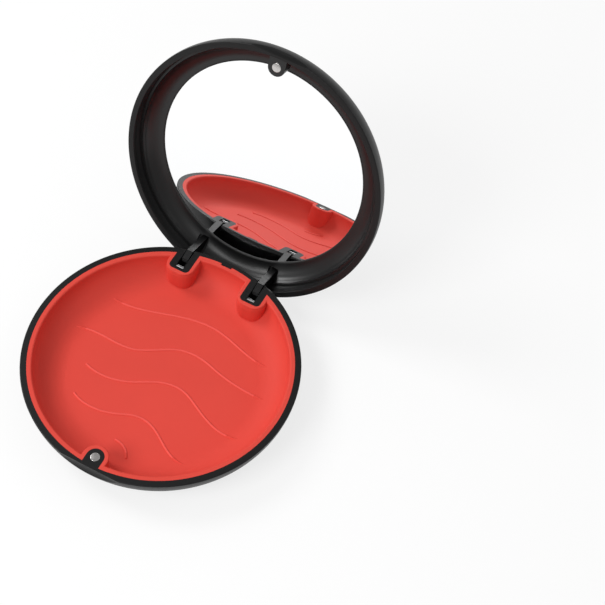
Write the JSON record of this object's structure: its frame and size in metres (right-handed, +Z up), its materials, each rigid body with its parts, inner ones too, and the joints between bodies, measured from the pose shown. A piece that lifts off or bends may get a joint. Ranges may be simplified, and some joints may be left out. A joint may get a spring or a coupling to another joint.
{
  "type": "denture case",
  "caption": "Round denture case with a silicone-lined base and a mirrored lid that swings open on two gooseneck hinge arms and shuts on a magnet catch",
  "frame": {"origin": "Centre of the base's flat underside, on the axis of the round base; the four feet stand 0.5 mm below it", "axes": "+Z up out of the open base, +Y toward the hinge, -Y toward the finger nick, +X to the right seen from the finger nick; stored with the lid open"},
  "size_m": [0.0826, 0.1146, 0.0801],
  "materials": {
    "shell_plastic": "satin black, very fine grain",
    "frame_plastic": "satin black, smooth",
    "liner_silicone": "soft matte red silicone",
    "mirror": "polished silvered mirror",
    "magnet": "nickel plate",
    "pin_steel": "ground steel wire",
    "foot_rubber": "matte black",
    "pad_foam": "black adhesive foam"
  },
  "bodies": {
    "base": {"base_shell": "shell_plastic", "base_liner": "liner_silicone", "base_magnet": "magnet", "pivot_pin_left": "pin_steel", "pivot_pin_right": "pin_steel", "cross_pin_left": "pin_steel", "cross_pin_right": "pin_steel", "foot_front_left": "foot_rubber", "foot_front_right": "foot_rubber", "foot_rear_left": "foot_rubber", "foot_rear_right": "foot_rubber"},
    "lid": {"lid_shell": "shell_plastic", "mirror_frame": "frame_plastic", "mirror": "mirror", "mirror_pad": "pad_foam", "lid_magnet": "magnet", "hinge_arm_left": "frame_plastic", "hinge_arm_right": "frame_plastic"}
  },
  "joints": [
    {"name": "lid_hinge", "type": "hinge", "parent": "base", "child": "lid", "pos_m": [0, 0.0366, 0.008], "axis": [1, 0, 0], "range_deg": [0, 110.1]}
  ]
}
